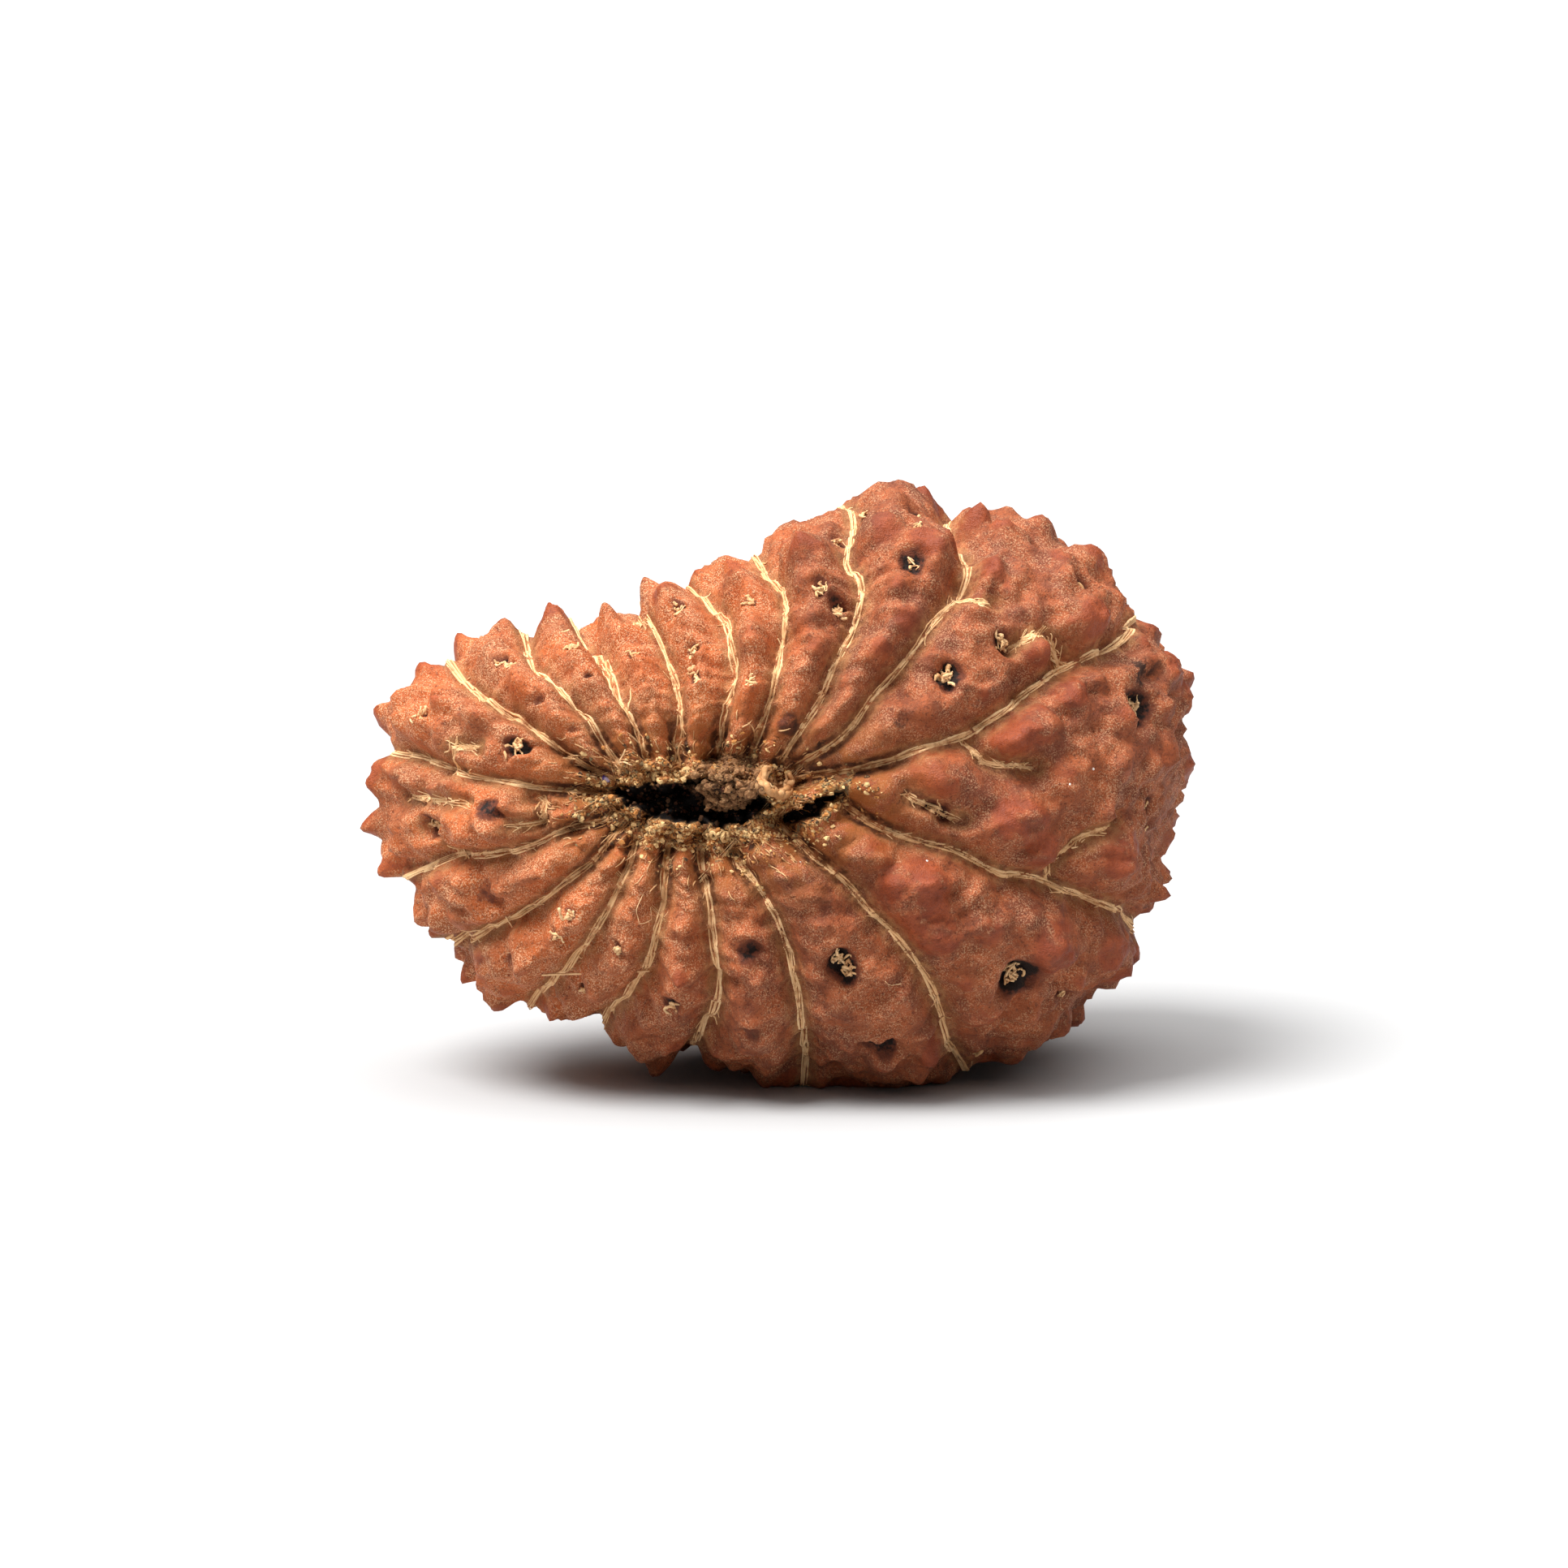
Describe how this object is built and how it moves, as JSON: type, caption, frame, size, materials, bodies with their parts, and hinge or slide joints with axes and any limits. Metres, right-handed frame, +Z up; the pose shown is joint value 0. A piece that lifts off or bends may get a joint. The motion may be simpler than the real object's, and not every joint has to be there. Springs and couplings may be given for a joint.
{
  "type": "rudraksha seed",
  "caption": "Dried woody rudraksha seed with radial knobbly lobes, raised veins, pits and a torn slit at its stalk end, lying on its rim.",
  "frame": {"origin": "on the surface that the seed lies on, under the middle of its bounding box", "axes": "+X along the seed's longest extent, towards its thick end; -Y towards the slit of the stalk end, which is turned up by 10 degrees; +Z up"},
  "size_m": [0.03, 0.0202, 0.0215],
  "materials": {
    "seed_stone": "matte"
  },
  "bodies": {
    "root": {"seed": "seed_stone"}
  },
  "joints": []
}
